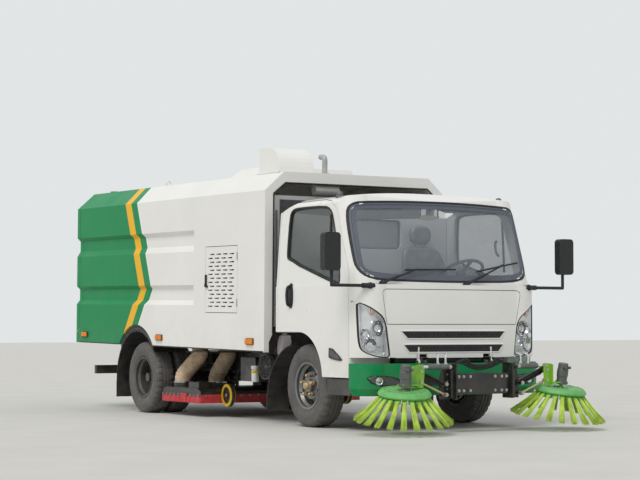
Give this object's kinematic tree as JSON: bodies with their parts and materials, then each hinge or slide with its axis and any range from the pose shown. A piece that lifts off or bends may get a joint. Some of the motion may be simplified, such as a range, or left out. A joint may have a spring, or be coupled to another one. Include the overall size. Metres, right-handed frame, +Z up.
{
  "type": "street sweeper truck",
  "caption": "Light cab-over lorry with a tipping sweepings body, suction nozzle, side brushes on lifting arms, tilting cab, opening doors and steered wheels.",
  "frame": {"origin": "on the road under the middle of the whole vehicle's box", "axes": "+X forward, +Y to the vehicle's left, +Z up"},
  "size_m": [6.9418, 2.664, 2.6238],
  "materials": {
    "cab_paint": "gloss",
    "body_paint": "gloss",
    "green_paint": "gloss",
    "dark_frame": "satin",
    "tyre": "matt",
    "wheel_paint": "satin",
    "dark_wheel": "satin",
    "clear_glass": "clear",
    "lamp_glass": "clear",
    "seat_cover": "matt",
    "dash_plastic": "matt",
    "black_plastic": "matt",
    "steel": "satin",
    "grey_paint": "satin",
    "lime_paint": "gloss",
    "bristle": "matt",
    "red_rubber": "matt",
    "tan_hose": "matt",
    "engine": "rough",
    "chrome": "polished"
  },
  "bodies": {
    "chassis": {"chassis_frame": "dark_frame", "front_axle": "dark_frame", "rear_axle": "dark_frame", "leaf_springs": "dark_frame", "engine_block": "engine", "aux_engine": "engine", "side_tanks": "dark_frame", "front_bumper": "green_paint", "side_steps": "grey_paint", "mudguards": "black_plastic", "rear_bar": "dark_frame", "sweeper_beam": "dark_frame", "suction_hoses": "tan_hose"},
    "cab": {"cab_shell": "cab_paint", "cab_glass": "clear_glass", "front_lamps": "lamp_glass", "seats": "seat_cover", "dashboard": "dash_plastic", "mirrors": "black_plastic"},
    "front_flap": {"front_flap": "cab_paint"},
    "body": {"body_shell": "body_paint", "body_sills": "dark_frame", "roof_hood": "body_paint", "roof_fittings": "steel"},
    "tailgate": {"tailgate": "body_paint"},
    "ram_barrel": {"ram_barrel": "dark_frame"},
    "ram_rod": {"ram_rod": "chrome"},
    "nozzle": {"suction_nozzle": "dark_frame", "nozzle_skirts": "red_rubber"},
    "door_left": {"door_left": "cab_paint", "door_glass_left": "clear_glass"},
    "knuckle_left": {"knuckle_left": "dark_frame"},
    "wheel_front_left": {"front_tyre_left": "tyre", "front_rim_left": "wheel_paint"},
    "wheel_rear_left": {"rear_tyres_left": "tyre", "rear_rims_left": "dark_wheel"},
    "louvre_door_left": {"louvre_door_left": "body_paint"},
    "caster_left": {"caster_wheel_left": "black_plastic"},
    "brush_arm_left": {"brush_arm_left": "dark_frame"},
    "brush_carrier_left": {"brush_carrier_left": "lime_paint"},
    "brush_left": {"brush_left": "bristle"},
    "lift_barrel_left": {"lift_barrel_left": "grey_paint"},
    "lift_rod_left": {"lift_rod_left": "chrome"},
    "tie_rod_left": {"tie_rod_left": "steel"},
    "door_right": {"door_right": "cab_paint", "door_glass_right": "clear_glass"},
    "knuckle_right": {"knuckle_right": "dark_frame"},
    "wheel_front_right": {"front_tyre_right": "tyre", "front_rim_right": "wheel_paint"},
    "wheel_rear_right": {"rear_tyres_right": "tyre", "rear_rims_right": "dark_wheel"},
    "louvre_door_right": {"louvre_door_right": "body_paint"},
    "caster_right": {"caster_wheel_right": "black_plastic"},
    "brush_arm_right": {"brush_arm_right": "dark_frame"},
    "brush_carrier_right": {"brush_carrier_right": "lime_paint"},
    "brush_right": {"brush_right": "bristle"},
    "lift_barrel_right": {"lift_barrel_right": "grey_paint"},
    "lift_rod_right": {"lift_rod_right": "chrome"},
    "tie_rod_right": {"tie_rod_right": "steel"}
  },
  "joints": [
    {"name": "cab_tilt", "type": "hinge", "parent": "chassis", "child": "cab", "pos_m": [2.6316, 0, 0.6], "axis": [0, 1, 0], "range_deg": [0, 45]},
    {"name": "front_flap_lift", "type": "hinge", "parent": "cab", "child": "front_flap", "pos_m": [2.6556, 0, 1.232], "axis": [0, -1, 0], "range_deg": [0, 70]},
    {"name": "door_left_swing", "type": "hinge", "parent": "cab", "child": "door_left", "pos_m": [2.4076, 0.965, 1.2], "axis": [0, 0, -1], "range_deg": [0, 70]},
    {"name": "steer_left", "type": "hinge", "parent": "chassis", "child": "knuckle_left", "pos_m": [1.6016, 0.69, 0.375], "axis": [0, 0, 1], "range_deg": [-35, 35]},
    {"name": "door_right_swing", "type": "hinge", "parent": "cab", "child": "door_right", "pos_m": [2.4076, -0.965, 1.2], "axis": [0, 0, 1], "range_deg": [0, 70]},
    {"name": "steer_right", "type": "hinge", "parent": "chassis", "child": "knuckle_right", "pos_m": [1.6016, -0.69, 0.375], "axis": [0, 0, 1], "range_deg": [-35, 35]},
    {"name": "wheel_front_left_roll", "type": "hinge", "parent": "knuckle_left", "child": "wheel_front_left", "pos_m": [1.6016, 0.813, 0.375], "axis": [0, 1, 0], "continuous": true},
    {"name": "wheel_rear_left_roll", "type": "hinge", "parent": "chassis", "child": "wheel_rear_left", "pos_m": [-1.7584, 0.757, 0.375], "axis": [0, 1, 0], "continuous": true},
    {"name": "wheel_front_right_roll", "type": "hinge", "parent": "knuckle_right", "child": "wheel_front_right", "pos_m": [1.6016, -0.813, 0.375], "axis": [0, 1, 0], "continuous": true},
    {"name": "wheel_rear_right_roll", "type": "hinge", "parent": "chassis", "child": "wheel_rear_right", "pos_m": [-1.7584, -0.757, 0.375], "axis": [0, 1, 0], "continuous": true},
    {"name": "body_tip", "type": "hinge", "parent": "chassis", "child": "body", "pos_m": [-2.9584, 0, 0.712], "axis": [0, -1, 0], "range_deg": [0, 42]},
    {"name": "ram_swing", "type": "hinge", "parent": "chassis", "child": "ram_barrel", "pos_m": [-0.7984, 0, 0.52], "axis": [0, 1, 0], "range_deg": [0, 21.6]},
    {"name": "ram_stroke", "type": "slide", "parent": "ram_barrel", "child": "ram_rod", "axis": [-0.9855, 0, 0.1699], "range_m": [0, 0.48907]},
    {"name": "tailgate_lift", "type": "hinge", "parent": "body", "child": "tailgate", "pos_m": [-3.36411, 0, 2.45481], "axis": [0, 1, 0], "range_deg": [0, 75]},
    {"name": "louvre_left_swing", "type": "hinge", "parent": "body", "child": "louvre_door_left", "pos_m": [0.45495, 1.022, 1.36436], "axis": [-0.015, 0, -0.9999], "range_deg": [0, 100]},
    {"name": "louvre_right_swing", "type": "hinge", "parent": "body", "child": "louvre_door_right", "pos_m": [0.45495, -1.022, 1.36436], "axis": [0.015, 0, 0.9999], "range_deg": [0, 100]},
    {"name": "nozzle_lift", "type": "slide", "parent": "chassis", "child": "nozzle", "axis": [0, 0, 1], "range_m": [-0.1, 0], "deforming": ["suction_hoses"]},
    {"name": "caster_left_roll", "type": "hinge", "parent": "nozzle", "child": "caster_left", "pos_m": [-0.3534, 0.69, 0.222], "axis": [0, 1, 0], "continuous": true},
    {"name": "caster_right_roll", "type": "hinge", "parent": "nozzle", "child": "caster_right", "pos_m": [-0.3534, -0.69, 0.222], "axis": [0, 1, 0], "continuous": true},
    {"name": "brush_arm_left_lift", "type": "hinge", "parent": "chassis", "child": "brush_arm_left", "pos_m": [3.0616, 0.4, 0.42], "axis": [1, 0, 0], "range_deg": [-8, 16]},
    {"name": "brush_level_left", "type": "hinge", "parent": "brush_arm_left", "child": "brush_carrier_left", "pos_m": [3.0616, 0.662, 0.53], "axis": [1, 0, 0], "range_deg": [-16.01, 8.01]},
    {"name": "lift_swing_left", "type": "hinge", "parent": "chassis", "child": "lift_barrel_left", "pos_m": [3.0616, 0.362, 0.567], "axis": [1, 0, 0], "range_deg": [-7.61, 15.2]},
    {"name": "lift_stroke_left", "type": "slide", "parent": "lift_barrel_left", "child": "lift_rod_left", "axis": [0, 1, 0], "range_m": [-0.03192, 0.01621]},
    {"name": "tie_swing_left", "type": "hinge", "parent": "chassis", "child": "tie_rod_left", "pos_m": [3.0616, 0.4, 0.33], "axis": [1, 0, 0], "range_deg": [-8.01, 16.01]},
    {"name": "brush_left_spin", "type": "hinge", "parent": "brush_carrier_left", "child": "brush_left", "pos_m": [3.0806, 0.82, 0.345], "axis": [0.1425, 0.0401, 0.989], "continuous": true},
    {"name": "brush_arm_right_lift", "type": "hinge", "parent": "chassis", "child": "brush_arm_right", "pos_m": [3.0616, -0.4, 0.42], "axis": [-1, 0, 0], "range_deg": [-8, 16]},
    {"name": "brush_level_right", "type": "hinge", "parent": "brush_arm_right", "child": "brush_carrier_right", "pos_m": [3.0616, -0.662, 0.53], "axis": [-1, 0, 0], "range_deg": [-16.01, 8.01]},
    {"name": "lift_swing_right", "type": "hinge", "parent": "chassis", "child": "lift_barrel_right", "pos_m": [3.0616, -0.362, 0.567], "axis": [-1, 0, 0], "range_deg": [-7.61, 15.2]},
    {"name": "lift_stroke_right", "type": "slide", "parent": "lift_barrel_right", "child": "lift_rod_right", "axis": [0, -1, 0], "range_m": [-0.03192, 0.01621]},
    {"name": "tie_swing_right", "type": "hinge", "parent": "chassis", "child": "tie_rod_right", "pos_m": [3.0616, -0.4, 0.33], "axis": [-1, 0, 0], "range_deg": [-8.01, 16.01]},
    {"name": "brush_right_spin", "type": "hinge", "parent": "brush_carrier_right", "child": "brush_right", "pos_m": [3.0806, -0.82, 0.345], "axis": [0.1425, -0.0401, 0.989], "continuous": true}
  ],
  "couplings": [
    {"joint": "steer_right", "follows": "steer_left", "ratio": 1},
    {"joint": "ram_swing", "follows": "body_tip", "ratio": 0.51397},
    {"joint": "ram_stroke", "follows": "body_tip", "m_per_rad": 0.6665},
    {"joint": "brush_level_left", "follows": "brush_arm_left_lift", "ratio": -1},
    {"joint": "lift_swing_left", "follows": "brush_arm_left_lift", "ratio": 0.94851},
    {"joint": "lift_stroke_left", "follows": "brush_arm_left_lift", "m_per_rad": -0.1125},
    {"joint": "tie_swing_left", "follows": "brush_arm_left_lift", "ratio": 1},
    {"joint": "brush_level_right", "follows": "brush_arm_right_lift", "ratio": -1},
    {"joint": "lift_swing_right", "follows": "brush_arm_right_lift", "ratio": 0.94851},
    {"joint": "lift_stroke_right", "follows": "brush_arm_right_lift", "m_per_rad": -0.1125},
    {"joint": "tie_swing_right", "follows": "brush_arm_right_lift", "ratio": 1}
  ]
}
